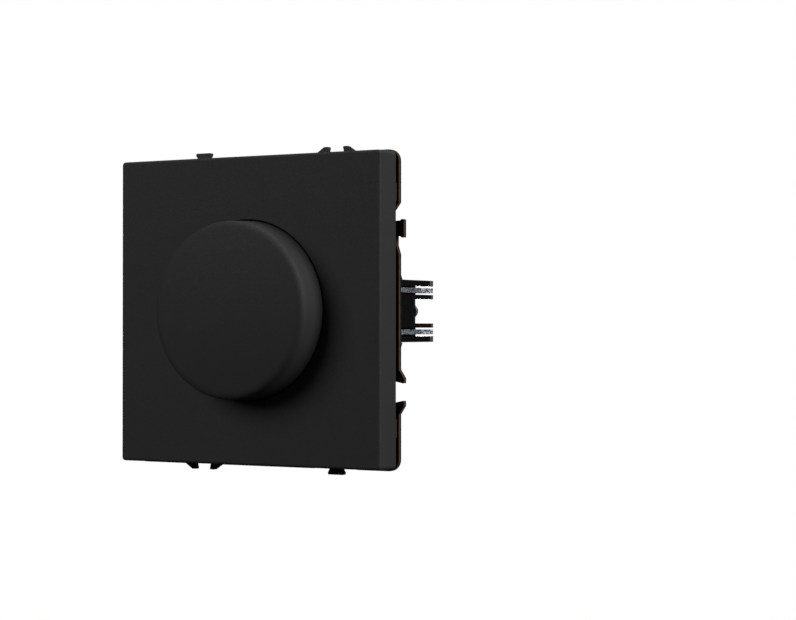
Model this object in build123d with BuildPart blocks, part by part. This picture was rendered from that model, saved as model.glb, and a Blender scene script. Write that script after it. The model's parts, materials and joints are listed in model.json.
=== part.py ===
from build123d import *
import os

os.makedirs("parts", exist_ok=True)

# Flush-mounted rotary dimmer insert, in millimetres. X is to the right seen from the front, Y goes into the
# wall and Z is up. The wall plane, at the back of the support frame's sheet, is Y = 0. A depth is along Y.

# Support frame of drawn steel sheet
sheet = 1.1
frame_corner = 2.6
tab_place = 18.0  # tabs and hooks from the middle of their side
tab_shift = 1.3  # of those on the upper and lower sides to the right
tab_reach = 1.25  # how far tabs and hooks stand out of the sheet
tab_stem = 3.4
tab_head = 4.05
tab_neck = 0.25
tab_flare = 0.4
tab_round = 0.25
hook_mouth = 3.7
hook_root = 4.85
hook_tip = 1.2
hook_foot = 1.9
hook_clearance = 0.2
recess_floor = 7.6
recess_slope = 1.9
recess_step = 0.6  # depth of the recess on the hooks' side of the tab
collar_radius = 25.4
collar_rear = 4.6
collar_bend = 1.2
collar_blend = 3.0  # between the round collar and its bulges
wave_count = 24
wave_depth = 0.45
wave_radius = 7.5
finger_place = 11.4
finger_width = 5.2
finger_rear = 7.2
barb_height = 0.8
barb_length = 0.9
box_pitch = 60.0  # box screws
box_slot_width = 3.8
box_slot_length = 5.6
slot_margin = 2.7  # sheet left outside each box slot

# Cover plate
plate_inset = 0.5  # of the plate from the edge of the sheet
plate_gap = 0.4  # between the plate's rim and the sheet
plate_depth = 6.8
plate_draft = 1.0
plate_corner = 0.9
plate_edge = 0.6
plate_wall = 1.8
plate_face = 2.0
dish_wall = 1.4
dish_floor = 1.6
lug_place = 26.0
lug_length = 4.0
rib_width = 1.2
rib_height = 2.6

# Rotary knob
knob_radius = 19.9
knob_draft = 0.5  # the base is this much wider than the rim
knob_ring_gap = 0.2
knob_stand = 7.4  # rim in front of the plate
knob_dome = 1.25
knob_edge = 1.3
knob_wall = 1.8
knob_skirt = 3.3  # depth of the skirt inside the plate
knob_boss_wall = 1.6
knob_boss_length = 5.6
knob_ribs = 6
push_travel = 1.0

# Potentiometer with push switch
shaft_radius = 3.0
shaft_flat = 1.5  # flat of the shaft from its axis
shaft_end = 2.6  # end of the shaft behind the knob's rim
shaft_chamfer = 0.3
fit_clearance = 0.05
bushing_radius = 4.9
bushing_tip = 6.2  # in front of the wall plane
case_radius = 8.0
case_wall = 1.4
case_length = 12.2
back_thickness = 1.3
wiper_radius = 5.2
wiper_thickness = 1.2
tail_radius = 2.0
tail_length = 2.0
plunger_radius = 5.4
plunger_length = 3.0
stem_radius = 1.3
stem_length = 2.6
spring_length = 3.2
spring_wire = 0.5
spring_radius = 2.5
spring_turns = 2.5
pin_size = 0.8
pin_places = [(-5.0, -4.0), (0.0, -5.5), (5.0, -4.0), (-4.0, 4.5), (4.0, 4.5)]
nut_thickness = 2.0
nut_flats = 14.0
plate_nut_radius = 8.0
plate_nut_thickness = 2.5
plate_nut_notches = 6
notch_radius = 1.0

# Round housing
drum_front = -0.6
drum_clearance = 0.15
nut_recess_radius = 9.4
cover_wall = 1.6
skirt_wall = 0.8  # of the front cover round the rear housing
cover_gap = 0.1  # between the collar's rear edge and the shoulder
cover_ledge = 8.6
cover_rear = 12.9
finger_clearance = 0.15
cup_radius = 24.3
cup_clearance = 0.1
cup_wall = 1.5
cup_rear = 26.7
rear_bevel = 2.0  # depth of the shallow bevel round the rear face
bevel_width = 8.3
step_rear = 24.4
slot_front = 14.2
slot_places = [(1.8, 1.8), (-1.1, 1.4), (-4.15, 0.7)]  # side slots: height over the terminals, and width
post_radius = 1.6
post_places = [(-13.0, 13.0), (13.0, 13.0), (-15.0, -11.0), (15.0, -11.0)]

# Board and components
board_front = 20.0
board_thickness = 1.2
board_clearance = 0.25
clamp_places = [-7.0, 0.0, 7.0]
clamp_width = 5.0
clamp_height = 4.8
clamp_length = 5.6
terminal_inset = 6.3  # middle of the terminals from the housing's round
wire_radius = 1.7
wire_clearance = 0.25
block_floor = 1.4
block_wall = 0.9
terminal_shank = 1.4
terminal_head = 1.9
terminal_head_height = 1.0
terminal_access = 2.1
spreader_width = 20.0
spreader_thickness = 1.5
spreader_inset = 7.3  # from the housing's round
spreader_length = 10.5
transistor_width = 8.0
transistor_thickness = 4.2
transistor_length = 9.0
transistor_place = 5.0
transistor_pin = 0.8
choke_gap = 0.25  # to the channel's wall
choke_outer = 3.3
choke_inner = 1.6
choke_height = 5.0
winding = 0.6
winding_clearance = 0.05
winding_angle = 300.0
film_gap = 1.2  # to the channel's wall
film_size = (6.0, 12.0, 10.0)
film_edge = 0.6
electrolytic_angle = 215.0
electrolytic_gap = 0.6  # to the housing's wall
electrolytic_radius = 3.4
electrolytic_length = 11.0
electrolytic_edge = 0.5
varistor_radius = 3.6
varistor_thickness = 3.0
varistor_across = 12.3
varistor_inset = 10.9  # from the housing's round
varistor_edge = 0.6

# Claw fixing on each side
channel_depth = 3.7  # channel in the housing's side
claw_stand = 3.9  # screw axis above the channel's floor
channel_half = 7.35
foot_half = 8.15  # half height of the channel's undercut
foot_depth = 1.15
guide_clearance = 0.15
guide_rear = 31.8
guide_front = 4.8
guide_height = 6.2  # above the channel's floor
guide_wall = 1.35
guide_block_rear = 7.5
guide_step = 0.5  # of the front block below the walls
core_step = 0.15
tip_length = 2.4  # bevel on the tips of the walls
tip_drop = 0.45
seat_thickness = 0.6
seat_height = 0.5  # of the seat wall past the screw axis
ear_thickness = 1.1
ear_front = 7.2
ear_rear = 13.5
ear_top = 15.1
ear_bottom = -17.7
core_front = 13.6
core_middle = 21.2
core_half = 3.85
core_wall = 1.0
pocket_front = 22.5
pocket_floor = 0.1
notch_front = 28.0  # round notch in the floor behind the pocket
claw_sheet = 1.15
claw_half = 5.4
claw_front = 10.75
claw_tip = 29.6
claw_lift = 1.6  # above the channel's floor
claw_width = 5.0
claw_bend = 1.7
swing_room = 0.6  # room for the screw in the claw's slot when the claw swings out
tooth_valley = 0.5  # below the claw's outer edge
tooth_reach = 0.8
tooth_pitch = 1.4
teeth = 3
claw_nut_thickness = 1.4
claw_nut_half = 2.7
screw_radius = 1.5
screw_tip = 25.8
flange_radius = 2.6
flange_front = 6.8
head_front = 6.2
head_radius = 2.1
head_notch_half = 2.9
head_notch_front = 5.9
driver_radius = 2.4
driver_clearance = 0.9
driver_slot = 0.7
driver_depth = 0.45
running = 0.05
washer_radius = 2.35
washer_thickness = 0.5
bow_sheet = 0.45
bow_half = 3.1
bow_width = 4.8
bow_hole = 1.75

# Places that follow from the sizes above
raster = box_pitch + box_slot_length + 2 * slot_margin  # side of the square sheet
half_side = raster / 2
plate_side = raster - 2 * plate_inset
plate_back = -sheet - plate_gap
plate_front = plate_back - plate_depth
dish_radius = knob_radius + knob_draft + knob_ring_gap
dish_back = drum_front
dish_front = dish_back - dish_floor
knob_rim = plate_front - knob_stand
knob_apex = knob_rim - knob_dome
knob_base = plate_front + knob_skirt
knob_ceiling = knob_rim + knob_wall
knob_base_radius = knob_radius + knob_draft
knob_blank = knob_apex - knob_dome  # front of the knob before its dome is cut
knob_blank_radius = knob_radius - knob_draft * (knob_rim - knob_blank) / (knob_stand + knob_skirt)
dome_radius = (knob_radius**2 + knob_dome**2) / (2 * knob_dome)
boss_end = knob_ceiling + knob_boss_length
shaft_front = knob_rim + shaft_end
shoulder = collar_rear + cover_gap
nut_seat = drum_front + nut_thickness
case_front = nut_seat + cover_wall
case_rear = case_front + case_length
cavity_front = case_front + case_wall
shaft_shoulder = cavity_front + push_travel
plunger_front = case_rear - spring_length - plunger_length
tail_front = plunger_front - fit_clearance
cup_front = cover_ledge + cup_clearance
cover_radius = cup_radius + cup_clearance + skirt_wall
clamp_middle = terminal_inset - cup_radius
step_top = clamp_middle + clamp_height / 2
spreader_place = cup_radius - spreader_inset
board_rear = board_front + board_thickness
channel_floor = cup_radius - channel_depth
channel_wall = channel_floor - cup_wall
lead_front = board_rear + cup_wall  # start of the flats that lead into the channels from the rear
choke_place = choke_outer + winding_clearance + winding + choke_gap - channel_wall
film_place = channel_wall - film_gap - film_size[0] / 2
electrolytic_place = cup_radius - cup_wall - electrolytic_gap - electrolytic_radius
claw_axis = channel_floor + claw_stand
guide_outer = channel_floor + guide_height
claw_inner = channel_floor + claw_lift
claw_outer = claw_inner + claw_width
claw_rear = claw_front + claw_sheet
claw_nut_front = claw_rear + running
seat_front = guide_block_rear + running
seat_rear = seat_front + seat_thickness
web_inner = channel_floor + guide_clearance
web_outer = channel_floor + foot_depth - guide_clearance
guide_half = channel_half - guide_clearance
bulge_radius = driver_radius + driver_clearance + sheet


# Helpers
def at(depth):
    """Plane at a depth, with X to the right and Z up. Its normal points out of the wall."""
    return Plane.XZ.offset(-depth)


def to_depth(start, end):
    """Amount of an extrusion from one depth to another on such a plane."""
    return start - end


def rectangle_between(low_x, high_x, low_y, high_y, mode=Mode.ADD):
    """Rectangle between two corners of the current sketch."""
    with Locations(((low_x + high_x) / 2, (low_y + high_y) / 2)):
        Rectangle(high_x - low_x, high_y - low_y, mode=mode)


def housing_outline(radius, lining):
    """Round outline with an undercut channel on each side, its walls thickened inwards by a lining."""
    with BuildSketch() as outline:
        Circle(radius)
        for side in (1, -1):
            foot_near = side * (channel_floor - lining)
            foot_far = side * (channel_floor + foot_depth + lining)
            mouth_far = side * 2 * channel_floor
            foot_limits = sorted((foot_near, foot_far))
            mouth_limits = sorted((foot_near, mouth_far))
            foot_reach = foot_half + lining
            mouth_reach = channel_half + lining
            rectangle_between(*foot_limits, -foot_reach, foot_reach, mode=Mode.SUBTRACT)
            rectangle_between(*mouth_limits, -mouth_reach, mouth_reach, mode=Mode.SUBTRACT)
    return outline.sketch


def bevelled_body(outline, radius, rear):
    """Body of an outline from the cup's front to a rear face with a shallow bevel round it."""
    with BuildPart() as body:
        with BuildSketch(at(cup_front)):
            add(outline)
        extrude(amount=to_depth(cup_front, rear))
        with BuildSketch(Plane.XY):
            Polygon(
                (0, cup_front),
                (radius, cup_front),
                (radius, rear - rear_bevel),
                (radius - bevel_width, rear),
                (0, rear),
                align=None,
            )
        revolve(axis=Axis.Y, mode=Mode.INTERSECT)
    return body.part


def flats(floor, front):
    """Blocks outside the flats at the rear of the two channels."""
    with BuildPart() as blocks:
        with BuildSketch(at(front)):
            for side in (1, -1):
                limits = sorted((side * floor, side * 2 * floor))
                rectangle_between(*limits, -cup_radius, cup_radius)
        extrude(amount=to_depth(front, cup_rear))
    return blocks.part


def collar_outline(radius, bulge):
    """Round outline that bulges round the screw on each side."""
    with BuildSketch() as outline:
        Circle(radius)
        with Locations((claw_axis, 0), (-claw_axis, 0)):
            Circle(bulge)
        fillet(outline.vertices(), collar_blend)
    return outline.sketch


def ring_sector(outer, inner, low_x, high_x, low_y, high_y):
    """The stretch of a ring that lies inside a rectangle."""
    with BuildSketch() as sector:
        Circle(outer)
        Circle(inner, mode=Mode.SUBTRACT)
        rectangle_between(low_x, high_x, low_y, high_y, mode=Mode.INTERSECT)
    return sector.sketch


def finger_sectors(outer, inner, clearance):
    """The four fingers of the collar as stretches of a ring."""
    low = finger_place - finger_width / 2 - clearance
    high = finger_place + finger_width / 2 + clearance
    sectors = []
    for low_x, high_x in ((0, outer), (-outer, 0)):
        for low_y, high_y in ((low, high), (-high, -low)):
            sectors.append(ring_sector(outer, inner, low_x, high_x, low_y, high_y))
    return sectors


# Support frame: square sheet with interlocking tabs, drawn collar with barbed fingers
collar_outer = collar_outline(collar_radius, bulge_radius)
collar_inner = collar_outline(collar_radius - sheet, bulge_radius - sheet)
tab_depth = tab_reach + hook_clearance
tab_edge = half_side + tab_reach

with BuildPart() as support_frame:
    with BuildSketch(at(-sheet)) as sheet_outline:
        Rectangle(raster, raster)
        fillet(sheet_outline.vertices(), frame_corner)
        for turn, shift in ((0, 0), (90, -tab_shift), (180, 0), (270, tab_shift)):
            with PolarLocations(0, 1, turn):
                with Locations((half_side, tab_place + shift)):
                    Polygon(
                        (0, recess_floor / 2 + recess_slope),
                        (-tab_depth, recess_floor / 2),
                        (-tab_depth, 0),
                        (-recess_step, 0),
                        (-recess_step, -recess_floor / 2),
                        (0, -recess_floor / 2 - recess_slope),
                        align=None,
                        mode=Mode.SUBTRACT,
                    )
                    Polygon(
                        (-tab_depth, -tab_stem / 2),
                        (tab_neck, -tab_stem / 2),
                        (tab_neck + tab_flare, -tab_head / 2),
                        (tab_reach, -tab_head / 2),
                        (tab_reach, tab_head / 2),
                        (tab_neck + tab_flare, tab_head / 2),
                        (tab_neck, tab_stem / 2),
                        (-tab_depth, tab_stem / 2),
                        align=None,
                    )
                with Locations((half_side, shift - tab_place)):
                    Polygon(
                        (0, -hook_mouth / 2 - hook_tip - hook_foot),
                        (tab_reach, -hook_mouth / 2 - hook_tip),
                        (tab_reach, hook_mouth / 2 + hook_tip),
                        (0, hook_mouth / 2 + hook_tip + hook_foot),
                        align=None,
                    )
                    Polygon(
                        (-tab_depth, -hook_root / 2),
                        (tab_reach, -hook_mouth / 2),
                        (tab_reach, hook_mouth / 2),
                        (-tab_depth, hook_root / 2),
                        align=None,
                        mode=Mode.SUBTRACT,
                    )
        tips = [tip for tip in sheet_outline.vertices() if max(abs(tip.X), abs(tip.Y)) > tab_edge - tab_neck]
        fillet(tips, tab_round)
        add(collar_inner, mode=Mode.SUBTRACT)
        with Locations((0, box_pitch / 2), (0, -box_pitch / 2)):
            SlotOverall(box_slot_length, box_slot_width, rotation=90, mode=Mode.SUBTRACT)
    extrude(amount=to_depth(-sheet, 0))
    with BuildSketch(at(-sheet)):
        add(collar_outer)
        add(collar_inner, mode=Mode.SUBTRACT)
    extrude(amount=to_depth(-sheet, collar_rear))
    collar_mouth = support_frame.faces().sort_by(Axis.Y)[0].inner_wires().sort_by(SortBy.LENGTH)[-1]
    fillet(collar_mouth.edges(), collar_bend)
    with Locations(at(collar_rear - wave_depth + wave_radius)):
        with PolarLocations(collar_radius, wave_count):
            Cylinder(wave_radius, 4 * bulge_radius, rotation=(0, 90, 0), mode=Mode.SUBTRACT)
    with BuildSketch(at(collar_rear - 2 * wave_depth)):
        for finger in finger_sectors(collar_radius, collar_radius - sheet, 0):
            add(finger)
    extrude(amount=to_depth(collar_rear - 2 * wave_depth, finger_rear))
    with BuildSketch(at(finger_rear - barb_length)):
        for barb in finger_sectors(collar_radius - sheet / 2, collar_radius - sheet - barb_height, 0):
            add(barb)
    extrude(amount=to_depth(finger_rear - barb_length, finger_rear))
support_frame.part.label = "support_frame"
export_step(support_frame.part, "parts/support_frame.step")

# Cover plate: square shell with a round dish for the knob
with BuildPart() as cover_plate:
    with BuildSketch(at(plate_back)):
        RectangleRounded(plate_side, plate_side, plate_corner)
    extrude(amount=plate_depth, taper=plate_draft)
    fillet(cover_plate.faces().sort_by(Axis.Y)[0].edges(), plate_edge)
    with BuildSketch(at(plate_back)):
        Rectangle(plate_side - 2 * plate_wall, plate_side - 2 * plate_wall)
        with GridLocations(plate_side, 0, 2, 1):
            Rectangle(plate_side - 2 * dish_radius, rib_width, mode=Mode.SUBTRACT)
        with GridLocations(0, plate_side, 1, 2):
            Rectangle(rib_width, plate_side - 2 * dish_radius, mode=Mode.SUBTRACT)
    extrude(amount=plate_depth - plate_face, mode=Mode.SUBTRACT)
    with BuildSketch(at(plate_back)):
        Rectangle(plate_side - 2 * plate_wall, plate_side - 2 * plate_wall)
    extrude(amount=plate_depth - plate_face - rib_height, mode=Mode.SUBTRACT)
    with BuildSketch(at(dish_back)):
        Circle(dish_radius + dish_wall)
    extrude(amount=to_depth(dish_back, plate_front + plate_face))
    with BuildSketch(at(dish_front)):
        Circle(dish_radius)
    extrude(amount=to_depth(dish_front, plate_front), mode=Mode.SUBTRACT)
    with BuildSketch(at(dish_back)):
        Circle(bushing_radius + running)
    extrude(amount=dish_floor, mode=Mode.SUBTRACT)
    with BuildSketch(at(plate_back)):
        with PolarLocations(0, 4):
            with Locations(
                (plate_side / 2 - plate_wall / 2, lug_place),
                (plate_side / 2 - plate_wall / 2, -lug_place),
            ):
                Rectangle(plate_wall, lug_length)
    extrude(amount=-plate_gap)
cover_plate.part.label = "cover_plate"
export_step(cover_plate.part, "parts/cover_plate.step")

# Rotary knob: domed cap with a D-shaped socket for the shaft
with BuildPart() as rotary_knob:
    with BuildSketch(Plane.XY):
        Polygon(
            (0, knob_blank),
            (knob_blank_radius, knob_blank),
            (knob_base_radius, knob_base),
            (knob_radius - knob_wall, knob_base),
            (knob_radius - knob_wall, knob_ceiling),
            (0, knob_ceiling),
            align=None,
        )
    revolve(axis=Axis.Y)
    with Locations((0, knob_apex + dome_radius, 0)):
        Sphere(dome_radius, mode=Mode.INTERSECT)
    fillet(rotary_knob.edges().filter_by_position(Axis.Y, knob_rim - running, knob_rim + running), knob_edge)
    with BuildSketch(at(knob_ceiling)):
        with PolarLocations(knob_radius / 2, knob_ribs):
            Rectangle(knob_radius - knob_wall, rib_width)
    extrude(amount=-rib_height)
    with BuildSketch(at(knob_ceiling)):
        Circle(shaft_radius + fit_clearance + knob_boss_wall)
    extrude(amount=to_depth(knob_ceiling, boss_end))
    with BuildSketch(at(shaft_front - fit_clearance)):
        Circle(shaft_radius + fit_clearance)
        rectangle_between(
            -knob_radius, knob_radius, -knob_radius, shaft_flat + fit_clearance, mode=Mode.INTERSECT
        )
    extrude(amount=to_depth(shaft_front - fit_clearance, boss_end), mode=Mode.SUBTRACT)
rotary_knob.part.label = "rotary_knob"
export_step(rotary_knob.part, "parts/rotary_knob.step")

# Potentiometer shaft: D end for the knob, wiper disc and a tail that turns in the plunger
with BuildPart() as potentiometer_shaft:
    with BuildSketch(at(shaft_front)):
        Circle(shaft_radius)
    extrude(amount=to_depth(shaft_front, tail_front))
    with BuildSketch(at(shaft_shoulder)):
        Circle(wiper_radius)
    extrude(amount=-wiper_thickness)
    with BuildSketch(at(tail_front)):
        Circle(tail_radius)
    extrude(amount=-tail_length)
    with BuildSketch(at(shaft_front)):
        rectangle_between(-shaft_radius, shaft_radius, shaft_flat, shaft_radius)
    extrude(amount=to_depth(shaft_front, boss_end), mode=Mode.SUBTRACT)
    chamfer(potentiometer_shaft.faces().sort_by(Axis.Y)[0].edges().filter_by(GeomType.CIRCLE), shaft_chamfer)
potentiometer_shaft.part.label = "potentiometer_shaft"
export_step(potentiometer_shaft.part, "parts/potentiometer_shaft.step")

# Potentiometer case with its threaded bushing, open at the back
with BuildPart() as potentiometer_case:
    with BuildSketch(at(case_front)):
        Circle(case_radius)
    extrude(amount=to_depth(case_front, case_rear))
    with BuildSketch(at(case_front)):
        Circle(bushing_radius)
    extrude(amount=to_depth(case_front, -bushing_tip))
    with BuildSketch(at(cavity_front)):
        Circle(case_radius - case_wall)
    extrude(amount=to_depth(cavity_front, case_rear), mode=Mode.SUBTRACT)
    with BuildSketch(at(-bushing_tip)):
        Circle(shaft_radius + running)
    extrude(amount=to_depth(-bushing_tip, cavity_front), mode=Mode.SUBTRACT)
potentiometer_case.part.label = "potentiometer_case"
export_step(potentiometer_case.part, "parts/potentiometer_case.step")

# Back of the potentiometer, with a hole for the plunger's stem
with BuildPart() as potentiometer_back:
    with BuildSketch(at(case_rear)):
        Circle(case_radius)
        Circle(stem_radius + 2 * running, mode=Mode.SUBTRACT)
    extrude(amount=-back_thickness)
potentiometer_back.part.label = "potentiometer_back"
export_step(potentiometer_back.part, "parts/potentiometer_back.step")

# Pins from the potentiometer through the board
with BuildPart() as potentiometer_pins:
    with BuildSketch(at(case_rear + back_thickness)):
        with Locations(*pin_places):
            Rectangle(pin_size, pin_size)
    extrude(amount=to_depth(case_rear + back_thickness, board_rear + pin_size))
potentiometer_pins.part.label = "potentiometer_pins"
export_step(potentiometer_pins.part, "parts/potentiometer_pins.step")

# Plunger of the push switch
with BuildPart() as switch_plunger:
    with BuildSketch(at(plunger_front)):
        Circle(plunger_radius)
    extrude(amount=-plunger_length)
    with BuildSketch(at(plunger_front)):
        Circle(tail_radius + running)
    extrude(amount=-tail_length, mode=Mode.SUBTRACT)
    with BuildSketch(at(plunger_front + plunger_length)):
        Circle(stem_radius)
    extrude(amount=-stem_length)
switch_plunger.part.label = "switch_plunger"
export_step(switch_plunger.part, "parts/switch_plunger.step")

# Return spring of the push switch, round the plunger's stem
spring_front = plunger_front + plunger_length + spring_wire / 2
spring_height = spring_length - spring_wire
with BuildPart() as return_spring:
    with BuildLine() as coil:
        Helix(
            spring_height / spring_turns,
            spring_height,
            spring_radius,
            center=(0, spring_front, 0),
            direction=(0, 1, 0),
        )
    with BuildSketch(Plane(coil.line @ 0, z_dir=coil.line % 0)):
        RegularPolygon(spring_wire / 2, 6)
    sweep(path=coil.line, is_frenet=True)
return_spring.part.label = "return_spring"
export_step(return_spring.part, "parts/return_spring.step")

# Steel nut that holds the potentiometer in the front cover
with BuildPart() as bushing_nut:
    with BuildSketch(at(drum_front)):
        RegularPolygon(nut_flats / 2, 6, major_radius=False)
        Circle(bushing_radius + running, mode=Mode.SUBTRACT)
    extrude(amount=to_depth(drum_front, nut_seat))
bushing_nut.part.label = "bushing_nut"
export_step(bushing_nut.part, "parts/bushing_nut.step")

# Round plastic nut that holds the cover plate on the bushing
with BuildPart() as plate_nut:
    with BuildSketch(at(dish_front)):
        Circle(plate_nut_radius)
        Circle(bushing_radius + running, mode=Mode.SUBTRACT)
        with PolarLocations(plate_nut_radius, plate_nut_notches):
            Circle(notch_radius, mode=Mode.SUBTRACT)
    extrude(amount=plate_nut_thickness)
plate_nut.part.label = "plate_nut"
export_step(plate_nut.part, "parts/plate_nut.step")

# Front cover: drum inside the collar, shoulder, and a skirt over the rear housing
drum_radius = collar_radius - sheet - drum_clearance
with BuildPart() as front_cover:
    with BuildSketch(at(drum_front)):
        Circle(drum_radius)
        with Locations((claw_axis, 0), (-claw_axis, 0)):
            Circle(bulge_radius - sheet, mode=Mode.SUBTRACT)
    extrude(amount=to_depth(drum_front, shoulder))
    with BuildSketch(at(shoulder)):
        add(housing_outline(cover_radius, 0))
    extrude(amount=to_depth(shoulder, cover_rear))
    with BuildSketch(at(case_front)):
        add(housing_outline(cup_radius - cup_wall, cup_wall))
    extrude(amount=to_depth(case_front, cover_ledge), mode=Mode.SUBTRACT)
    with BuildSketch(at(cover_ledge)):
        Circle(cup_radius + cup_clearance)
    extrude(amount=to_depth(cover_ledge, cover_rear), mode=Mode.SUBTRACT)
    with BuildSketch(at(drum_front)):
        Circle(nut_recess_radius)
    extrude(amount=to_depth(drum_front, nut_seat), mode=Mode.SUBTRACT)
    with BuildSketch(at(nut_seat)):
        Circle(bushing_radius + running)
    extrude(amount=to_depth(nut_seat, case_front), mode=Mode.SUBTRACT)
    notch_inner = collar_radius - sheet - finger_clearance
    with BuildSketch(at(shoulder)):
        for notch in finger_sectors(2 * cover_radius, notch_inner, finger_clearance):
            add(notch)
    extrude(amount=to_depth(shoulder, finger_rear + finger_clearance), mode=Mode.SUBTRACT)
    with BuildSketch(at(finger_rear - barb_length - finger_clearance)):
        for notch in finger_sectors(2 * cover_radius, notch_inner - barb_height, finger_clearance):
            add(notch)
    extrude(amount=-barb_length - 2 * finger_clearance, mode=Mode.SUBTRACT)
front_cover.part.label = "front_cover"
export_step(front_cover.part, "parts/front_cover.step")

# Rear housing: cup with a channel on each side, a step at the terminals, slots and posts for the board
cavity_radius = cup_radius - cup_wall
with BuildPart() as cup_cavity:
    add(bevelled_body(housing_outline(cavity_radius, cup_wall), cavity_radius, cup_rear - cup_wall))
    add(flats(channel_wall, lead_front - cup_wall), mode=Mode.SUBTRACT)
    with BuildSketch(at(step_rear - cup_wall)):
        rectangle_between(-cup_radius, cup_radius, -2 * cup_radius, step_top + cup_wall)
    extrude(amount=to_depth(step_rear - cup_wall, cup_rear), mode=Mode.SUBTRACT)
with BuildPart() as rear_housing:
    add(bevelled_body(housing_outline(cup_radius, 0), cup_radius, cup_rear))
    add(flats(channel_floor, lead_front), mode=Mode.SUBTRACT)
    with BuildSketch(at(step_rear)):
        rectangle_between(-cup_radius, cup_radius, -2 * cup_radius, step_top)
    extrude(amount=to_depth(step_rear, cup_rear), mode=Mode.SUBTRACT)
    add(cup_cavity.part, mode=Mode.SUBTRACT)
    with BuildSketch(Plane.YZ):
        for rise, width in slot_places:
            height = clamp_middle + rise
            rectangle_between(
                slot_front + width / 2, step_rear - cup_wall, height - width / 2, height + width / 2
            )
            with Locations((slot_front + width / 2, height)):
                Circle(width / 2)
    extrude(amount=cup_radius, both=True, mode=Mode.SUBTRACT)
    with BuildSketch(at(step_rear)):
        with Locations(*[(place, clamp_middle) for place in clamp_places]):
            Circle(wire_radius)
    extrude(amount=cup_wall, mode=Mode.SUBTRACT)
    with BuildSketch(Plane.XY.offset(-cup_radius)):
        with Locations(*[(place, board_front - clamp_length / 2) for place in clamp_places]):
            Circle(terminal_access)
    extrude(amount=cup_radius + step_top, mode=Mode.SUBTRACT)
    with BuildSketch(at(cup_rear - cup_wall)):
        with Locations(*post_places):
            Circle(post_radius)
    extrude(amount=to_depth(cup_rear - cup_wall, board_rear))
rear_housing.part.label = "rear_housing"
export_step(rear_housing.part, "parts/rear_housing.step")

# Main board, on the posts of the rear housing
board_inset = cup_wall + board_clearance
with BuildPart() as main_board:
    with BuildSketch(at(board_front)):
        add(housing_outline(cup_radius - board_inset, board_inset))
        with Locations(*[(place, clamp_middle) for place in clamp_places]):
            Circle(wire_radius + wire_clearance, mode=Mode.SUBTRACT)
        with Locations(*pin_places):
            Circle(pin_size, mode=Mode.SUBTRACT)
    extrude(amount=-board_thickness)
main_board.part.label = "main_board"
export_step(main_board.part, "parts/main_board.step")

# Terminal clamps: brass cages on the board, with a hole for the wire and one for the screw
clamp_front = board_front - clamp_length
clamp_bottom = clamp_middle - clamp_height / 2
with BuildPart() as terminal_clamps:
    with BuildSketch(at(clamp_front)):
        with Locations(*[(place, clamp_middle) for place in clamp_places]):
            Rectangle(clamp_width, clamp_height)
            Circle(wire_radius, mode=Mode.SUBTRACT)
    extrude(amount=-clamp_length)
    with BuildSketch(Plane.XY.offset(clamp_bottom)):
        with Locations(*[(place, clamp_front + clamp_length / 2) for place in clamp_places]):
            Circle(terminal_shank + running)
    extrude(amount=clamp_height / 2, mode=Mode.SUBTRACT)
terminal_clamps.part.label = "terminal_clamps"
export_step(terminal_clamps.part, "parts/terminal_clamps.step")

# Terminal screws, driven from below
with BuildPart() as terminal_screws:
    with BuildSketch(Plane.XY.offset(clamp_bottom - terminal_head_height)):
        with Locations(*[(place, clamp_front + clamp_length / 2) for place in clamp_places]):
            Circle(terminal_head)
    extrude(amount=terminal_head_height)
    with BuildSketch(Plane.XY.offset(clamp_bottom)):
        with Locations(*[(place, clamp_front + clamp_length / 2) for place in clamp_places]):
            Circle(terminal_shank)
    extrude(amount=clamp_height / 2 - wire_radius)
    with BuildSketch(Plane.XY.offset(clamp_bottom - terminal_head_height)):
        with Locations(*[(place, clamp_front + clamp_length / 2) for place in clamp_places]):
            Rectangle(2 * terminal_head, driver_slot)
    extrude(amount=driver_depth, mode=Mode.SUBTRACT)
terminal_screws.part.label = "terminal_screws"
export_step(terminal_screws.part, "parts/terminal_screws.step")

# Terminal block: comb that carries the clamps
block_half = clamp_places[-1] + clamp_width / 2 + running
with BuildPart() as terminal_block:
    with BuildSketch(at(clamp_front - block_floor)):
        rectangle_between(-block_half, block_half, clamp_bottom, clamp_bottom + clamp_height)
    extrude(amount=-block_floor)
    with BuildSketch(at(clamp_front)):
        for left, right in zip(clamp_places, clamp_places[1:]):
            with Locations(((left + right) / 2, clamp_middle)):
                Rectangle(block_wall, clamp_height)
    extrude(amount=-clamp_length)
terminal_block.part.label = "terminal_block"
export_step(terminal_block.part, "parts/terminal_block.step")

# Heat spreader standing on the board
with BuildPart() as heat_spreader:
    with BuildSketch(at(board_front)):
        rectangle_between(
            -spreader_width / 2, spreader_width / 2, spreader_place, spreader_place + spreader_thickness
        )
    extrude(amount=spreader_length)
heat_spreader.part.label = "heat_spreader"
export_step(heat_spreader.part, "parts/heat_spreader.step")

# Power transistors against the heat spreader, each with three legs
with BuildPart() as power_transistors:
    with BuildSketch(at(board_front - transistor_pin)):
        with Locations(
            (-transistor_place, spreader_place - transistor_thickness / 2),
            (transistor_place, spreader_place - transistor_thickness / 2),
        ):
            Rectangle(transistor_width, transistor_thickness)
    extrude(amount=transistor_length)
    with BuildSketch(at(board_front)):
        with Locations(
            (-transistor_place, spreader_place - transistor_thickness / 2),
            (transistor_place, spreader_place - transistor_thickness / 2),
        ):
            with GridLocations(transistor_width / 3, 0, 3, 1):
                Rectangle(transistor_pin, transistor_pin)
    extrude(amount=transistor_pin)
power_transistors.part.label = "power_transistors"
export_step(power_transistors.part, "parts/power_transistors.step")

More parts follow.
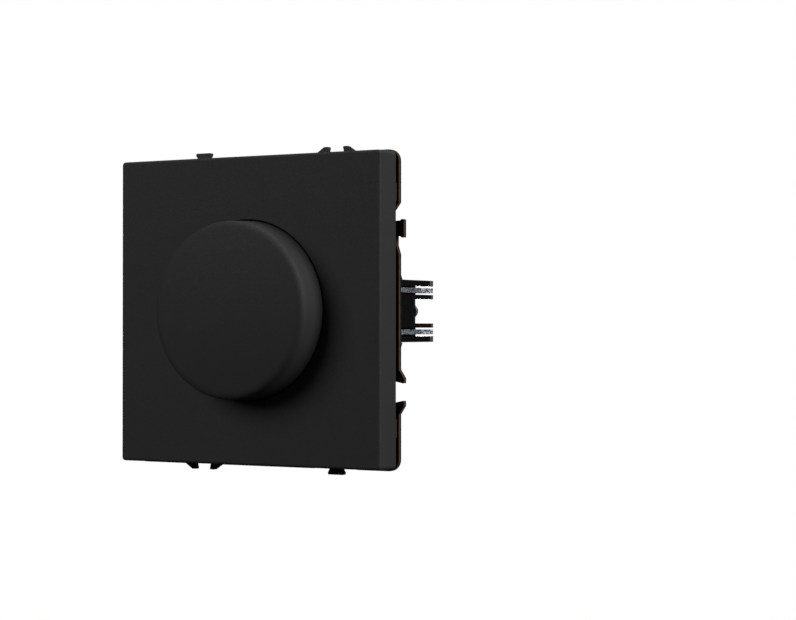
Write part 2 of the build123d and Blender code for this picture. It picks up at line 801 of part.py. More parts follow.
# Choke: ring core inside a winding that leaves a gap
choke_middle = board_front - winding - winding_clearance - choke_height / 2
with BuildPart() as choke_core:
    with BuildSketch(at(choke_middle - choke_height / 2)):
        with Locations((choke_place, 0)):
            Circle(choke_outer)
            Circle(choke_inner, mode=Mode.SUBTRACT)
    extrude(amount=-choke_height)
choke_core.part.label = "choke_core"
export_step(choke_core.part, "parts/choke_core.step")

ring_middle = (choke_outer + choke_inner) / 2
ring_width = choke_outer - choke_inner + 2 * winding_clearance
ring_height = choke_height + 2 * winding_clearance
with BuildPart() as choke_winding:
    with BuildSketch(Plane.XY):
        with Locations((choke_place + ring_middle, choke_middle)):
            Rectangle(ring_width + 2 * winding, ring_height + 2 * winding)
            Rectangle(ring_width, ring_height, mode=Mode.SUBTRACT)
    revolve(axis=Axis((choke_place, 0, 0), (0, 1, 0)), revolution_arc=winding_angle)
choke_winding.part.label = "choke_winding"
export_step(choke_winding.part, "parts/choke_winding.step")

# Film capacitor
with BuildPart() as film_capacitor:
    with BuildSketch(at(board_front)):
        with Locations((film_place, 0)):
            Rectangle(film_size[0], film_size[1])
    extrude(amount=film_size[2])
    fillet(film_capacitor.edges().filter_by(Axis.Y), film_edge)
film_capacitor.part.label = "film_capacitor"
export_step(film_capacitor.part, "parts/film_capacitor.step")

# Electrolytic capacitor
with BuildPart() as electrolytic_capacitor:
    with BuildSketch(at(board_front)):
        with PolarLocations(electrolytic_place, 1, electrolytic_angle):
            Circle(electrolytic_radius)
    extrude(amount=electrolytic_length)
    fillet(electrolytic_capacitor.faces().sort_by(Axis.Y)[0].edges(), electrolytic_edge)
electrolytic_capacitor.part.label = "electrolytic_capacitor"
export_step(electrolytic_capacitor.part, "parts/electrolytic_capacitor.step")

# Varistor disc, on edge on the board
with BuildPart() as varistor:
    with BuildSketch(Plane.YZ.offset(varistor_across - varistor_thickness / 2)):
        with Locations((board_front - varistor_radius, varistor_inset - cup_radius)):
            Circle(varistor_radius)
    extrude(amount=varistor_thickness)
    fillet(varistor.edges().filter_by(GeomType.CIRCLE), varistor_edge)
varistor.part.label = "varistor"
export_step(varistor.part, "parts/varistor.step")

# Claw guide of the right side: foot in the housing's channel, side walls, ears, core and screw seat
with BuildPart() as claw_guide:
    with BuildSketch(at(guide_front)):
        rectangle_between(web_inner, web_outer, -foot_half + guide_clearance, foot_half - guide_clearance)
    extrude(amount=to_depth(guide_front, lead_front))
    with BuildSketch(at(guide_front)):
        rectangle_between(web_inner, guide_outer - guide_step, -guide_half, guide_half)
    extrude(amount=to_depth(guide_front, ear_front))
    with BuildSketch(at(ear_front)):
        rectangle_between(web_inner, guide_outer, -guide_half, guide_half)
    extrude(amount=to_depth(ear_front, guide_rear))
    with BuildSketch(at(ear_front)):
        add(
            ring_sector(
                cover_radius + guide_clearance + ear_thickness,
                cover_radius + guide_clearance,
                0,
                2 * cover_radius,
                ear_bottom,
                ear_top,
            )
        )
    extrude(amount=to_depth(ear_front, ear_rear))
    # Cavity for the claw, with the core left standing in it and the seat wall in front
    with BuildSketch(at(seat_rear)):
        rectangle_between(web_outer, 2 * guide_outer, guide_wall - guide_half, guide_half - guide_wall)
    extrude(amount=to_depth(seat_rear, guide_rear), mode=Mode.SUBTRACT)
    with BuildSketch(at(ear_front)):
        rectangle_between(
            claw_axis + seat_height, 2 * guide_outer, guide_wall - guide_half, guide_half - guide_wall
        )
    extrude(amount=to_depth(ear_front, seat_rear), mode=Mode.SUBTRACT)
    with BuildSketch(at(core_front)):
        rectangle_between(web_inner, guide_outer, -core_half, core_half)
    extrude(amount=to_depth(core_front, core_middle))
    with BuildSketch(at(core_middle)):
        rectangle_between(web_inner, guide_outer - core_step, -core_half, core_half)
    extrude(amount=to_depth(core_middle, guide_rear))
    # Pocket round the screw's tip, open to the rear, with a round notch in its floor
    pocket_half = core_half - core_wall
    with BuildSketch(Plane.YZ.offset(web_outer + pocket_floor)):
        rectangle_between(pocket_front, guide_rear, -pocket_half, pocket_half)
    extrude(amount=guide_outer, mode=Mode.SUBTRACT)
    with BuildSketch(Plane.YZ.offset(web_inner)):
        rectangle_between(notch_front + pocket_half, guide_rear, -pocket_half, pocket_half)
        with Locations((notch_front + pocket_half, 0)):
            Circle(pocket_half)
    extrude(amount=guide_outer, mode=Mode.SUBTRACT)
    with BuildSketch(Plane.XY.offset(-guide_half)):
        Polygon(
            (guide_outer, guide_rear - tip_length),
            (guide_outer, guide_rear),
            (guide_outer - tip_drop, guide_rear),
            align=None,
        )
    extrude(amount=2 * guide_half, mode=Mode.SUBTRACT)
    # Bore, head notch, seat notch and driver access of the screw
    with BuildSketch(at(core_front)):
        with Locations((claw_axis, 0)):
            Circle(screw_radius + guide_clearance)
    extrude(amount=to_depth(core_front, pocket_front), mode=Mode.SUBTRACT)
    with BuildSketch(at(head_notch_front)):
        rectangle_between(claw_axis - head_notch_half, 2 * guide_outer, -head_notch_half, head_notch_half)
    extrude(amount=to_depth(head_notch_front, seat_front), mode=Mode.SUBTRACT)
    with BuildSketch(at(seat_front)):
        with Locations((claw_axis, 0)):
            Circle(screw_radius + guide_clearance)
        rectangle_between(
            claw_axis, 2 * guide_outer, -screw_radius - guide_clearance, screw_radius + guide_clearance
        )
    extrude(amount=to_depth(seat_front, seat_rear), mode=Mode.SUBTRACT)
    with BuildSketch(at(guide_front)):
        with Locations((claw_axis, 0)):
            Circle(driver_radius)
    extrude(amount=to_depth(guide_front, head_notch_front), mode=Mode.SUBTRACT)

# Claw of the right side: U-shaped strip with toothed arms
tooth_start = claw_tip - teeth * tooth_pitch
tooth_root = claw_outer - tooth_valley
tooth_points = []
for tooth in range(teeth):
    tooth_points.append((tooth_root, tooth_start + tooth * tooth_pitch))
    tooth_points.append((tooth_root + tooth_reach, tooth_start + (tooth + 1) * tooth_pitch))
with BuildPart() as claw:
    with BuildSketch(Plane.YZ.offset(claw_inner)) as strip:
        rectangle_between(claw_front, claw_tip, -claw_half, claw_half)
        fillet(strip.vertices().group_by(Axis.X)[0], claw_bend)
        with BuildSketch(mode=Mode.SUBTRACT) as gap:
            rectangle_between(claw_rear, claw_tip, claw_sheet - claw_half, claw_half - claw_sheet)
            fillet(gap.vertices().group_by(Axis.X)[0], claw_bend - claw_sheet)
    extrude(amount=tooth_root + tooth_reach - claw_inner)
    with BuildSketch(Plane.XY.offset(-claw_half)):
        Polygon(
            (claw_inner, claw_front),
            (claw_outer, claw_front),
            (claw_outer, tooth_start - tooth_pitch),
            *tooth_points,
            (claw_inner + 2 * claw_sheet, claw_tip),
            (claw_inner, tooth_start),
            align=None,
        )
    extrude(amount=2 * claw_half, mode=Mode.INTERSECT)
    with BuildSketch(at(claw_front)):
        slot_height = 2 * (screw_radius + guide_clearance)
        with Locations((claw_axis + swing_room / 2, 0)):
            SlotOverall(slot_height + swing_room, slot_height)
    extrude(amount=-claw_sheet, mode=Mode.SUBTRACT)

# Nut of the right claw
with BuildPart() as claw_nut:
    with BuildSketch(at(claw_nut_front)):
        rectangle_between(claw_inner, claw_outer, -claw_nut_half, claw_nut_half)
        with Locations((claw_axis, 0)):
            Circle(screw_radius + running, mode=Mode.SUBTRACT)
    extrude(amount=-claw_nut_thickness)

# Bow spring of the right claw, between the screw seat and the claw
bow_front = seat_rear + running
bow_rear = claw_front - running
with BuildPart() as claw_spring:
    with BuildSketch(Plane.YZ.offset(claw_axis - bow_width / 2)):
        with BuildLine():
            ThreePointArc((bow_front, bow_half), (bow_rear, 0), (bow_front, -bow_half))
            Line((bow_front, -bow_half), (bow_front, bow_sheet - bow_half))
            ThreePointArc(
                (bow_front, bow_sheet - bow_half),
                (bow_rear - bow_sheet, 0),
                (bow_front, bow_half - bow_sheet),
            )
            Line((bow_front, bow_half - bow_sheet), (bow_front, bow_half))
        make_face()
    extrude(amount=bow_width)
    with BuildSketch(at(bow_front)):
        with Locations((claw_axis, 0)):
            Circle(bow_hole)
    extrude(amount=to_depth(bow_front, claw_front), mode=Mode.SUBTRACT)

# Screw of the right claw: domed flange head with a crossed slot
screw_line = Axis((claw_axis, 0, 0), (0, 1, 0))
with BuildPart() as claw_screw:
    with BuildSketch(Plane.XY):
        with BuildLine():
            TangentArc(
                (claw_axis, head_front), (claw_axis + head_radius, flange_front), tangent=(1, 0)
            )
            Polyline(
                (claw_axis + head_radius, flange_front),
                (claw_axis + flange_radius, flange_front),
                (claw_axis + flange_radius, guide_block_rear),
                (claw_axis + screw_radius, guide_block_rear),
                (claw_axis + screw_radius, screw_tip),
                (claw_axis, screw_tip),
                (claw_axis, head_front),
            )
        make_face()
    revolve(axis=screw_line)
    chamfer(claw_screw.faces().sort_by(Axis.Y)[-1].edges(), screw_radius / 4)
    with BuildSketch(at(head_front)):
        with Locations((claw_axis, 0)):
            Rectangle(2 * head_radius, driver_slot)
            Rectangle(driver_slot, 2 * head_radius)
    extrude(amount=-driver_depth, mode=Mode.SUBTRACT)

# Retaining washer on the tip of the right screw
with BuildPart() as claw_washer:
    with BuildSketch(at(pocket_front + running)):
        with Locations((claw_axis, 0)):
            Circle(washer_radius)
            Circle(screw_radius + running, mode=Mode.SUBTRACT)
    extrude(amount=-washer_thickness)

# The left side's pieces mirror those of the right side
claw_pieces = {
    "claw_guide": claw_guide.part,
    "claw": claw.part,
    "claw_nut": claw_nut.part,
    "claw_spring": claw_spring.part,
    "claw_screw": claw_screw.part,
    "claw_washer": claw_washer.part,
}
for piece_name, right_piece in claw_pieces.items():
    left_piece = mirror(right_piece, about=Plane.YZ)
    right_piece.label = piece_name + "_right"
    left_piece.label = piece_name + "_left"
    export_step(right_piece, "parts/" + right_piece.label + ".step")
    export_step(left_piece, "parts/" + left_piece.label + ".step")
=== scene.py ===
"""Looks of a flush-mounted rotary dimmer insert: finishes, fine metal detail, studio and camera."""

import json
import math

import bmesh
import bpy
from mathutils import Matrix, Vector

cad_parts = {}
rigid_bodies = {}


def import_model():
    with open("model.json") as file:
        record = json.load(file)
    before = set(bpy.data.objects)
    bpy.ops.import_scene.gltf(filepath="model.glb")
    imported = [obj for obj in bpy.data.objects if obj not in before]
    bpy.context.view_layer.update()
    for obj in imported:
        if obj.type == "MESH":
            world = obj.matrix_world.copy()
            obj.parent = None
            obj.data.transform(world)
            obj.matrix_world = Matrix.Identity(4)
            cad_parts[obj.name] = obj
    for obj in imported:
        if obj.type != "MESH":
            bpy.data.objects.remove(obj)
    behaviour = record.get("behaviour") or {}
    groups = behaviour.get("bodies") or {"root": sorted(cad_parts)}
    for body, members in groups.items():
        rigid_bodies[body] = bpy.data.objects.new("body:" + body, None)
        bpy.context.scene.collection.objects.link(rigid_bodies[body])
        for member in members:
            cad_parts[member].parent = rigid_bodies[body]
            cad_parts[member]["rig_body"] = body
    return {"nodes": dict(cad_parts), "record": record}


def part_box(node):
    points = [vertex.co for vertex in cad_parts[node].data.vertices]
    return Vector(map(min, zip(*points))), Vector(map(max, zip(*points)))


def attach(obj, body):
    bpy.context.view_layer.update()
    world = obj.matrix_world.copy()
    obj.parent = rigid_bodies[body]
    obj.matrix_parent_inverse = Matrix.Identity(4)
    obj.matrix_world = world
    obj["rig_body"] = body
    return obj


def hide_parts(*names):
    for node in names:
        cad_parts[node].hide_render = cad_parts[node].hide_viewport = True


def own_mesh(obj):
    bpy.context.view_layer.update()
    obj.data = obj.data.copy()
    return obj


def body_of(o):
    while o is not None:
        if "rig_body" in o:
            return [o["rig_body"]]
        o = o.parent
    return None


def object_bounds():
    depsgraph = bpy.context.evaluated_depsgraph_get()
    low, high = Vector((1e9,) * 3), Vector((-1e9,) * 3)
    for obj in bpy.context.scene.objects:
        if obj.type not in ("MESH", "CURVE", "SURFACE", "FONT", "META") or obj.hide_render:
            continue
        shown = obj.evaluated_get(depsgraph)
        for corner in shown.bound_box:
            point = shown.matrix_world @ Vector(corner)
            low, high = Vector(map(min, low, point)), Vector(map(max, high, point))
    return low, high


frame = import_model()
cad_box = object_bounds()
scene = bpy.context.scene
nodes = frame["nodes"]

MM = 0.001
SIDES = {"right": 1, "left": -1}  # each side's sign along X

# Camera, set for a picture of 796 by 620 pixels
PICTURE_WIDTH = 796
FOCAL_PIXELS = 1967.4
SENSOR_WIDTH = 36.0
NEAREST_SEEN = 10 * MM
CAMERA_PLACE = Vector((247.35, -378.03, -3.97)) * MM
CAMERA_YAW = math.radians(29.36)
CAMERA_PITCH = math.radians(0.53)

# Studio: lamps as place in metres, width and height in metres and power in watts
LAMPS = {
    "key_lamp": ((-0.82, -1.28, 0.80), 1.10, 1.10, 18.4),
    "side_lamp": ((0.95, 0.04, 0.50), 0.28, 0.70, 14.0),
    "top_lamp": ((0.10, 0.30, 1.10), 0.60, 0.60, 7.0),
    "rear_lamp": ((-0.75, 1.05, 0.06), 1.20, 0.30, 18.0),  # low, for sides that the picture hides
}
WHITE = (1, 1, 1, 1)
AMBIENT = 0.003  # strength of the dim light from all round
BACKDROP_LOW = 0.965  # Y of the unit direction where the white backdrop begins
BACKDROP_HIGH = 0.995  # Y of the unit direction where it is fully white
FLOOR_DROP = 75 * MM  # floor below the lowest point of the object
FLOOR_SIDE = 6.0
FLOOR_PALE = 0.92  # shade that the camera sees
FLOOR_BOUNCE = 0.04  # shade that lights the object from below
FLOOR_FADE = (0.14, 0.30)  # distances in metres between which the floor turns to plain white

# Finishes, with sizes in millimetres
FINE_DETAIL = 3.0  # octaves of a fine noise
CLOUD_GRAINS = 40  # clouds in a moulding's colour, in grains of its texture
MOULD_EDGE = 0.15  # rounding of a moulding's edges
KNOB_EDGE = 2.0  # rounding where the knob's face turns into its side
BARE_EDGE = (-0.95, -0.55)  # depths between which the sheet's cut edge is bare
FLAKE_SIZE = 0.22  # zinc flakes
TRACK_PITCH = 2.5  # copper tracks of the board
WAVE_UNIT = 1.2  # unit of the wave texture, which holds about three turns of wire
WAVE_WANDER = 0.4  # unevenness of those turns

# Places of the two colours and of the result among a mix node's sockets
MIX_FIRST = 6
MIX_SECOND = 7
MIX_RESULT = 2

# Rolled thread of the claw screws
THREAD_PITCH = 0.5 * MM
THREAD_DEPTH = 0.27 * MM
THREAD_STEPS = 24  # facets round one turn
THREAD_CREST = 0.14  # share of the pitch
ROOT_SINK = THREAD_DEPTH / 4  # foot of the thread's ridge below the core's surface
PLAIN_SHANK = 0.4 * MM
SHAFT_FIT = 1.01  # share of the shaft's radius within which a corner is on the shaft


# Scene helpers
def srgb(red, green, blue):
    """Linear colour from 0 to 255 screen values."""
    linear = []
    for value in (red, green, blue):
        share = value / 255
        linear.append(share / 12.92 if share <= 0.04045 else ((share + 0.055) / 1.055) ** 2.4)
    return (*linear, 1.0)


def link_object(name, data):
    """A new object in the scene."""
    made = bpy.data.objects.new(name, data)
    scene.collection.objects.link(made)
    return made


def mesh_object(name, points, faces):
    """A new object with a mesh of these points and faces."""
    data = bpy.data.meshes.new(name)
    data.from_pydata(points, [], faces)
    data.update()
    return link_object(name, data)


def add_node(tree, kind, inputs=None, **settings):
    """A shader node whose inputs take another node's output or a plain value."""
    made = tree.nodes.new(kind)
    for name, setting in settings.items():
        setattr(made, name, setting)
    for key, value in (inputs or {}).items():
        if isinstance(value, bpy.types.NodeSocket):
            tree.links.new(value, made.inputs[key])
        else:
            made.inputs[key].default_value = value
    return made


# Camera
def make_camera():
    """Camera at the picture's viewing angle."""
    data = bpy.data.cameras.new("camera")
    data.sensor_width = SENSOR_WIDTH
    data.lens = FOCAL_PIXELS / PICTURE_WIDTH * SENSOR_WIDTH
    data.clip_start = NEAREST_SEEN
    camera = link_object("camera", data)
    camera.location = CAMERA_PLACE
    camera.rotation_euler = (math.pi / 2 + CAMERA_PITCH, 0, CAMERA_YAW)
    scene.camera = camera


# Studio
def make_lamp(name, place, width, height, power):
    """Soft rectangular lamp that points at the origin."""
    data = bpy.data.lights.new(name, "AREA")
    data.shape = "RECTANGLE"
    data.size = width
    data.size_y = height
    data.energy = power
    lamp = link_object(name, data)
    lamp.location = place
    lamp.rotation_mode = "QUATERNION"
    lamp.rotation_quaternion = (-Vector(place)).to_track_quat("-Z", "Y")


def make_world():
    """White to the camera. Gloss sees a white backdrop behind the object and a dim studio before it."""
    world = bpy.data.worlds.new("studio")
    scene.world = world
    world.use_nodes = True
    world.cycles.sampling_method = "NONE"
    tree = world.node_tree
    path = add_node(tree, "ShaderNodeLightPath")
    direction = add_node(tree, "ShaderNodeTexCoord")
    split = add_node(tree, "ShaderNodeSeparateXYZ", {"Vector": direction.outputs["Generated"]})
    limits = {"From Min": BACKDROP_LOW, "From Max": BACKDROP_HIGH, "To Min": AMBIENT, "To Max": 1.0}
    backdrop = add_node(
        tree,
        "ShaderNodeMapRange",
        {"Value": split.outputs["Y"], **limits},
        interpolation_type="SMOOTHSTEP",
    )
    gloss = add_node(
        tree,
        "ShaderNodeMix",
        {"Factor": path.outputs["Is Glossy Ray"], "A": AMBIENT, "B": backdrop.outputs["Result"]},
    )
    seen = add_node(
        tree,
        "ShaderNodeMath",
        {0: path.outputs["Is Camera Ray"], 1: path.outputs["Is Transmission Ray"]},
        operation="MAXIMUM",
    )
    white = add_node(
        tree,
        "ShaderNodeMix",
        {"Factor": seen.outputs["Value"], "A": gloss.outputs["Result"], "B": 1.0},
    )
    background = tree.nodes["Background"]
    background.inputs["Color"].default_value = WHITE
    tree.links.new(white.outputs["Result"], background.inputs["Strength"])


def floor_material():
    """Pale floor that keeps the object's shadow and turns to plain white further out."""
    made = bpy.data.materials.new("pale_floor")
    made.use_nodes = True
    made.cycles.emission_sampling = "NONE"
    tree = made.node_tree
    tree.nodes.clear()
    path = add_node(tree, "ShaderNodeLightPath")
    place = add_node(tree, "ShaderNodeTexCoord")
    reach = add_node(tree, "ShaderNodeVectorMath", {0: place.outputs["Object"]}, operation="LENGTH")
    fade = add_node(
        tree,
        "ShaderNodeMapRange",
        {"Value": reach.outputs["Value"], "From Min": FLOOR_FADE[0], "From Max": FLOOR_FADE[1]},
        interpolation_type="SMOOTHSTEP",
    )
    pale_colour = (FLOOR_PALE, FLOOR_PALE, FLOOR_PALE, 1)
    pale = add_node(tree, "ShaderNodeBsdfDiffuse", {"Color": pale_colour})
    white = add_node(tree, "ShaderNodeEmission", {"Color": WHITE})
    seen = add_node(
        tree,
        "ShaderNodeMixShader",
        {"Fac": fade.outputs["Result"], 1: pale.outputs["BSDF"], 2: white.outputs["Emission"]},
    )
    bounce_colour = (FLOOR_BOUNCE, FLOOR_BOUNCE, FLOOR_BOUNCE, 1)
    bounce = add_node(tree, "ShaderNodeBsdfDiffuse", {"Color": bounce_colour})
    both = add_node(
        tree,
        "ShaderNodeMixShader",
        {"Fac": path.outputs["Is Camera Ray"], 1: bounce.outputs["BSDF"], 2: seen.outputs["Shader"]},
    )
    add_node(tree, "ShaderNodeOutputMaterial", {"Surface": both.outputs["Shader"]})
    return made


def make_floor():
    """Plain square floor below the object."""
    half = FLOOR_SIDE / 2
    corners = [(-half, -half, 0), (half, -half, 0), (half, half, 0), (-half, half, 0)]
    floor = mesh_object("floor", corners, [(0, 1, 2, 3)])
    floor.location.z = cad_box[0].z - FLOOR_DROP
    floor.data.materials.append(floor_material())


# Materials
class Look:
    """A material in the making: its node tree, its shader, and the piece's own coordinates in metres."""

    def __init__(self, name, metallic=0.0, specular=0.5):
        self.material = bpy.data.materials.new(name)
        self.material.use_nodes = True
        self.tree = self.material.node_tree
        self.shader = self.tree.nodes["Principled BSDF"]
        self.shader.inputs["Metallic"].default_value = metallic
        self.shader.inputs["Specular IOR Level"].default_value = specular
        coordinates = self.node("ShaderNodeTexCoord")
        self.place = coordinates.outputs["Object"]
        self.normal = coordinates.outputs["Normal"]

    def node(self, kind, inputs=None, **settings):
        """A node in this material's tree."""
        return add_node(self.tree, kind, inputs, **settings)

    def noise(self, grain, detail=2.0, stretch=(1, 1, 1)):
        """Noise with a grain size in millimetres, stretched along an axis by a factor."""
        scale = [1 / (grain * MM * factor) for factor in stretch]
        mapping = self.node("ShaderNodeMapping", {"Vector": self.place, "Scale": scale})
        made = self.node(
            "ShaderNodeTexNoise",
            {"Vector": mapping.outputs["Vector"], "Scale": 1.0, "Detail": detail},
        )
        return made.outputs["Fac"]

    def pattern(self, kind, unit, **settings):
        """A texture whose unit is a size in millimetres."""
        return self.node(kind, {"Vector": self.place, "Scale": 1 / (unit * MM)}, **settings)

    def between(self, value, low, high, start=0.3, end=0.7):
        """A value brought from one range, by default that of noise, to another."""
        limits = {"From Min": start, "From Max": end, "To Min": low, "To Max": high}
        return self.node("ShaderNodeMapRange", {"Value": value, **limits}).outputs["Result"]

    def mix(self, factor, first, second):
        """A colour between two, each a colour or a colour output."""
        inputs = {"Factor": factor, MIX_FIRST: first, MIX_SECOND: second}
        return self.node("ShaderNodeMix", inputs, data_type="RGBA").outputs[MIX_RESULT]

    def cut_faces(self):
        """1 on faces that stand on edge to the wall, 0 on those parallel to it."""
        split = self.node("ShaderNodeSeparateXYZ", {"Vector": self.normal})
        facing = self.node("ShaderNodeMath", {0: split.outputs["Y"]}, operation="ABSOLUTE")
        return self.between(facing.outputs["Value"], low=1.0, high=0.0, start=0.2, end=0.7)

    def depth_band(self, front, rear):
        """1 between two depths along Y in millimetres, 0 elsewhere."""
        split = self.node("ShaderNodeSeparateXYZ", {"Vector": self.place})
        middle = (front + rear) / 2 * MM
        half = (rear - front) / 2 * MM
        inputs = {0: split.outputs["Y"], 1: middle, 2: half}
        return self.node("ShaderNodeMath", inputs, operation="COMPARE").outputs["Value"]

    def both(self, first, second):
        """The part that two masks share."""
        inputs = {0: first, 1: second}
        return self.node("ShaderNodeMath", inputs, operation="MULTIPLY").outputs["Value"]

    def bump(self, height, depth, edge=0.0):
        """Relief of a depth in millimetres, on edges that are softened by a radius in millimetres."""
        inputs = {"Height": height, "Distance": depth * MM}
        if edge:
            inputs["Normal"] = self.node("ShaderNodeBevel", {"Radius": edge * MM}).outputs["Normal"]
        relief = self.node("ShaderNodeBump", inputs)
        self.tree.links.new(relief.outputs["Normal"], self.shader.inputs["Normal"])

    def finish(self, colour, roughness):
        """The material with its colour and roughness."""
        self.tree.links.new(colour, self.shader.inputs["Base Color"])
        self.tree.links.new(roughness, self.shader.inputs["Roughness"])
        return self.material


def moulded(name, dark, light, rough, grain, depth, specular, edge=MOULD_EDGE):
    """Moulded plastic: texture of a grain and depth in millimetres, with slight clouds in its colour."""
    look = Look(name, specular=specular)
    texture = look.noise(grain, detail=FINE_DETAIL)
    clouds = look.noise(CLOUD_GRAINS * grain)
    look.bump(texture, depth, edge=edge)
    return look.finish(look.mix(clouds, dark, light), look.between(texture, *rough))


def plated(name, dark, light, rough, stretch):
    """Plated sheet or bar: fine rolling streaks and cloudy passivation."""
    look = Look(name, metallic=1.0)
    streaks = look.noise(grain=0.12, detail=FINE_DETAIL, stretch=stretch)
    clouds = look.noise(grain=1.6, detail=FINE_DETAIL)
    look.bump(streaks, depth=0.006)
    return look.finish(look.mix(clouds, dark, light), look.between(streaks, *rough))


def spangled_zinc():
    """Zinc on a stamped strip: bright flakes among dull ones, with small steps between them."""
    look = Look("bright_zinc", metallic=1.0)
    flakes = look.pattern("ShaderNodeTexVoronoi", FLAKE_SIZE)
    draw = look.node("ShaderNodeSeparateColor", {"Color": flakes.outputs["Color"]})
    bright = look.between(draw.outputs["Red"], low=0.0, high=1.0, start=0.35, end=0.75)
    look.bump(draw.outputs["Green"], depth=0.05)
    colour = look.mix(bright, srgb(62, 66, 72), srgb(168, 175, 182))
    roughness = look.between(draw.outputs["Blue"], low=0.48, high=0.62, start=0.0, end=1.0)
    return look.finish(colour, roughness)


def coated_sheet():
    """Black coated sheet with a thin line of bare metal along its cut edges."""
    look = Look("coated_sheet", specular=0.2)
    streaks = look.noise(grain=0.25, detail=FINE_DETAIL, stretch=(1, 1, 8))
    clouds = look.noise(grain=6.0, detail=FINE_DETAIL)
    skin = look.mix(clouds, srgb(17, 15, 14), srgb(28, 25, 23))
    bare = look.mix(streaks, srgb(40, 33, 29), srgb(86, 75, 68))
    bare_line = look.both(look.cut_faces(), look.depth_band(*BARE_EDGE))
    look.bump(streaks, depth=0.008, edge=0.1)
    return look.finish(look.mix(bare_line, skin, bare), look.between(streaks, low=0.38, high=0.52))


def board():
    """Glass-epoxy board: green lacquer over copper tracks, pale fibre on the cut edge."""
    look = Look("board")
    weave = look.noise(grain=0.3)
    tracks = look.pattern("ShaderNodeTexVoronoi", TRACK_PITCH, distance="CHEBYCHEV")
    copper = look.between(tracks.outputs["Distance"], low=0.0, high=1.0, start=0.36, end=0.40)
    lacquer = look.mix(copper, srgb(30, 92, 52), srgb(58, 128, 76))
    fibre = look.mix(weave, srgb(176, 190, 150), srgb(206, 214, 180))
    look.bump(copper, depth=0.03)
    colour = look.mix(look.cut_faces(), lacquer, fibre)
    return look.finish(colour, look.between(weave, low=0.32, high=0.46))


def wound_wire():
    """Enamelled wire in close turns round the choke's ring, with painted shade in the grooves between
    the turns.
    """
    look = Look("wound_wire", metallic=1.0)
    wave = look.pattern("ShaderNodeTexWave", WAVE_UNIT)
    wave.inputs["Distortion"].default_value = WAVE_WANDER
    turns = wave.outputs["Fac"]
    look.bump(turns, depth=0.15)
    # painted shade: the colour follows the turns, darker in the grooves between them and lighter on
    # their crests
    colour = look.mix(turns, srgb(120, 62, 34), srgb(206, 128, 84))
    return look.finish(colour, look.between(turns, low=0.26, high=0.36))


MATT_PLASTIC = {
    "dark": srgb(34, 34, 34),
    "light": srgb(37, 37, 37),
    "rough": (0.62, 0.74),
    "grain": 0.3,
    "depth": 0.02,
    "specular": 0.25,
}

# A finish for each material slot, and two more for the knob and the claw screws
FINISHES = {
    "cover_plastic": moulded("matt_cover", **MATT_PLASTIC),
    "knob_plastic": moulded("matt_knob", **MATT_PLASTIC, edge=KNOB_EDGE),
    "housing_plastic": moulded(
        "gloss_housing",
        dark=srgb(8, 8, 9),
        light=srgb(11, 11, 12),
        rough=(0.26, 0.34),
        grain=0.8,
        depth=0.004,
        specular=0.12,
    ),
    "inner_plastic": moulded(
        "inner_moulding",
        dark=srgb(38, 38, 40),
        light=srgb(52, 52, 54),
        rough=(0.4, 0.55),
        grain=0.4,
        depth=0.02,
        specular=0.5,
    ),
    "component_black": moulded(
        "epoxy_case",
        dark=srgb(20, 20, 21),
        light=srgb(32, 32, 34),
        rough=(0.45, 0.6),
        grain=0.2,
        depth=0.02,
        specular=0.5,
    ),
    "component_red": moulded(
        "dipped_lacquer",
        dark=srgb(120, 38, 22),
        light=srgb(158, 58, 34),
        rough=(0.2, 0.32),
        grain=0.7,
        depth=0.05,
        specular=0.5,
    ),
    "ferrite": moulded(
        "ferrite",
        dark=srgb(46, 46, 49),
        light=srgb(66, 66, 70),
        rough=(0.5, 0.65),
        grain=0.15,
        depth=0.02,
        specular=0.5,
    ),
    "coated_steel": coated_sheet(),
    "zinc_steel": spangled_zinc(),
    "screw_zinc": plated(
        "screw_zinc",
        dark=srgb(84, 88, 94),
        light=srgb(146, 152, 158),
        rough=(0.32, 0.42),
        stretch=(1, 1, 1),
    ),
    "spring_steel": plated(
        "blue_zinc",
        dark=srgb(38, 74, 98),
        light=srgb(92, 130, 154),
        rough=(0.24, 0.36),
        stretch=(6, 1, 1),
    ),
    "brass": plated(
        "brass",
        dark=srgb(150, 112, 54),
        light=srgb(196, 156, 88),
        rough=(0.24, 0.36),
        stretch=(1, 6, 1),
    ),
    "tinned_pins": plated(
        "tinned_pins",
        dark=srgb(190, 188, 180),
        light=srgb(216, 214, 206),
        rough=(0.26, 0.38),
        stretch=(1, 6, 1),
    ),
    "aluminium": plated(
        "plain_aluminium",
        dark=srgb(190, 191, 193),
        light=srgb(216, 217, 219),
        rough=(0.3, 0.42),
        stretch=(8, 1, 1),
    ),
    "copper": wound_wire(),
    "board_green": board(),
}
NODE_FINISHES = {"rotary_knob": "knob_plastic"}


def dress_nodes():
    """Each node gets its own finish, or else that of its material slot."""
    for part in frame["record"]["subparts"]:
        data = nodes[part["node"]].data
        data.materials.clear()
        finish = NODE_FINISHES.get(part["node"], part["material_slot"])
        data.materials.append(FINISHES[finish])


# Claw screws with a rolled thread
def round_point(middle, radius, turn, depth):
    """A point at a turn about an axis along Y."""
    return (middle + radius * math.cos(turn), depth, radius * math.sin(turn))


def turned_bar(middle, profile):
    """Points and faces of a round bar along Y, open at its front and closed at its tip."""
    points = []
    faces = []
    for ring, (radius, depth) in enumerate(profile):
        for step in range(THREAD_STEPS):
            turn = 2 * math.pi * step / THREAD_STEPS
            points.append(round_point(middle, radius, turn, depth))
        if ring:
            near = (ring - 1) * THREAD_STEPS
            far = ring * THREAD_STEPS
            for step in range(THREAD_STEPS):
                following = (step + 1) % THREAD_STEPS
                faces.append((near + step, near + following, far + following, far + step))
    faces.append(tuple(range(len(points) - THREAD_STEPS, len(points))))
    return points, faces


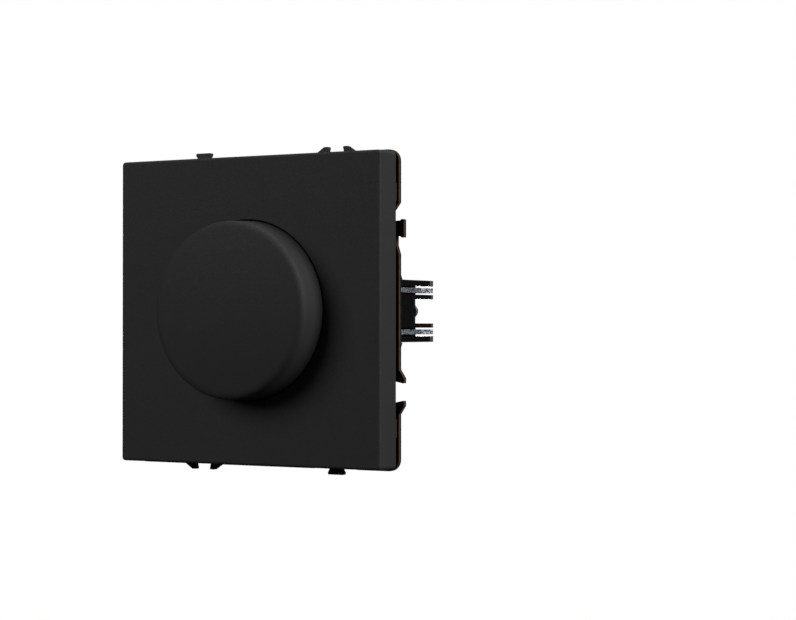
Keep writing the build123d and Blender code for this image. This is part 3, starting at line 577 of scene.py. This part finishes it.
def thread_ridge(middle, core, front, rear):
    """Points and faces of a ridge that winds round a core and runs out at both ends."""
    count = int((rear - front) / THREAD_PITCH * THREAD_STEPS)
    root = core - ROOT_SINK
    half_root = THREAD_PITCH * (1 - THREAD_CREST) / 2
    half_crest = THREAD_PITCH * THREAD_CREST / 2
    points = []
    faces = []
    for step in range(count + 1):
        turn = 2 * math.pi * step / THREAD_STEPS
        along = front + THREAD_PITCH * step / THREAD_STEPS + half_root
        growth = min(1.0, step / THREAD_STEPS, (count - step) / THREAD_STEPS)
        crest = core + THREAD_DEPTH * growth
        section = [(root, -half_root), (crest, -half_crest), (crest, half_crest), (root, half_root)]
        far = len(points)
        near = far - len(section)
        for radius, offset in section:
            points.append(round_point(middle, radius, turn, along + offset))
        if step:
            for corner in range(len(section)):
                following = (corner + 1) % len(section)
                faces.append((near + corner, far + corner, far + following, near + following))
    return points, faces


def threaded_shaft(name, middle, radius, front, tip):
    """Shaft along Y with a plain shank, a rolled thread and a cone at its tip."""
    core = radius - THREAD_DEPTH
    shank_end = front + PLAIN_SHANK
    profile = [
        (radius, front),
        (radius, shank_end),
        (core, shank_end + THREAD_DEPTH),
        (core, tip - THREAD_DEPTH),
        (core - THREAD_DEPTH, tip),
    ]
    points, faces = turned_bar(middle, profile)
    ridge_points, ridge_faces = thread_ridge(middle, core, shank_end, tip - THREAD_PITCH)
    first = len(points)
    faces += [tuple(first + corner for corner in face) for face in ridge_faces]
    return mesh_object(name, points + ridge_points, faces)


def cut_off(data, cut_corners):
    """Takes out of a mesh each face whose corners are all among those given."""
    shell = bmesh.new()
    shell.from_mesh(data)
    cut = [face for face in shell.faces if all(corner.index in cut_corners for corner in face.verts)]
    bmesh.ops.delete(shell, geom=cut, context="FACES")
    shell.to_mesh(data)
    shell.free()


def make_screws():
    """Each claw screw keeps its head and gets a threaded shaft."""
    for side in SIDES:
        node = "claw_screw_" + side
        low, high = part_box(node)
        middle = (low.x + high.x) / 2
        corners = [corner.co for corner in nodes[node].data.vertices]
        reach = [math.hypot(corner.x - middle, corner.z) for corner in corners]
        half_way = (low.y + high.y) / 2
        radius = max(away for corner, away in zip(corners, reach) if corner.y > half_way)
        past_slot = low.y + radius / 2  # behind the floor of the driver slot
        on_shaft = {
            index
            for index, corner in enumerate(corners)
            if reach[index] < SHAFT_FIT * radius and corner.y > past_slot
        }
        front = min(corners[index].y for index in on_shaft)
        head = link_object(node + "_head", nodes[node].data.copy())
        cut_off(head.data, on_shaft)
        thread = threaded_shaft(node + "_thread", middle, radius, front, high.y)
        for piece in (head, thread):
            piece.data.materials.clear()
            piece.data.materials.append(FINISHES["screw_zinc"])
            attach(piece, body_of(nodes[node])[0])
            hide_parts(node)


# Springs, each a copy with its own mesh
def make_spring(node):
    """A copy of a spring with its own mesh, fixed to the root body in place of its node."""
    spring = link_object(node + "_leaf", nodes[node].data.copy())
    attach(spring, "root")
    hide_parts(node)
    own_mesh(spring)


def make_springs():
    """Copies of the two claw springs and the return spring. A bow lies flat before its claw, which leans
    as it swings out.
    """
    for side, sign in SIDES.items():
        make_spring("claw_spring_" + side)
    make_spring("return_spring")


scene.view_settings.view_transform = "Standard"
make_camera()
make_world()
for lamp_name, lamp in LAMPS.items():
    make_lamp(lamp_name, *lamp)
make_floor()
dress_nodes()
make_screws()
make_springs()
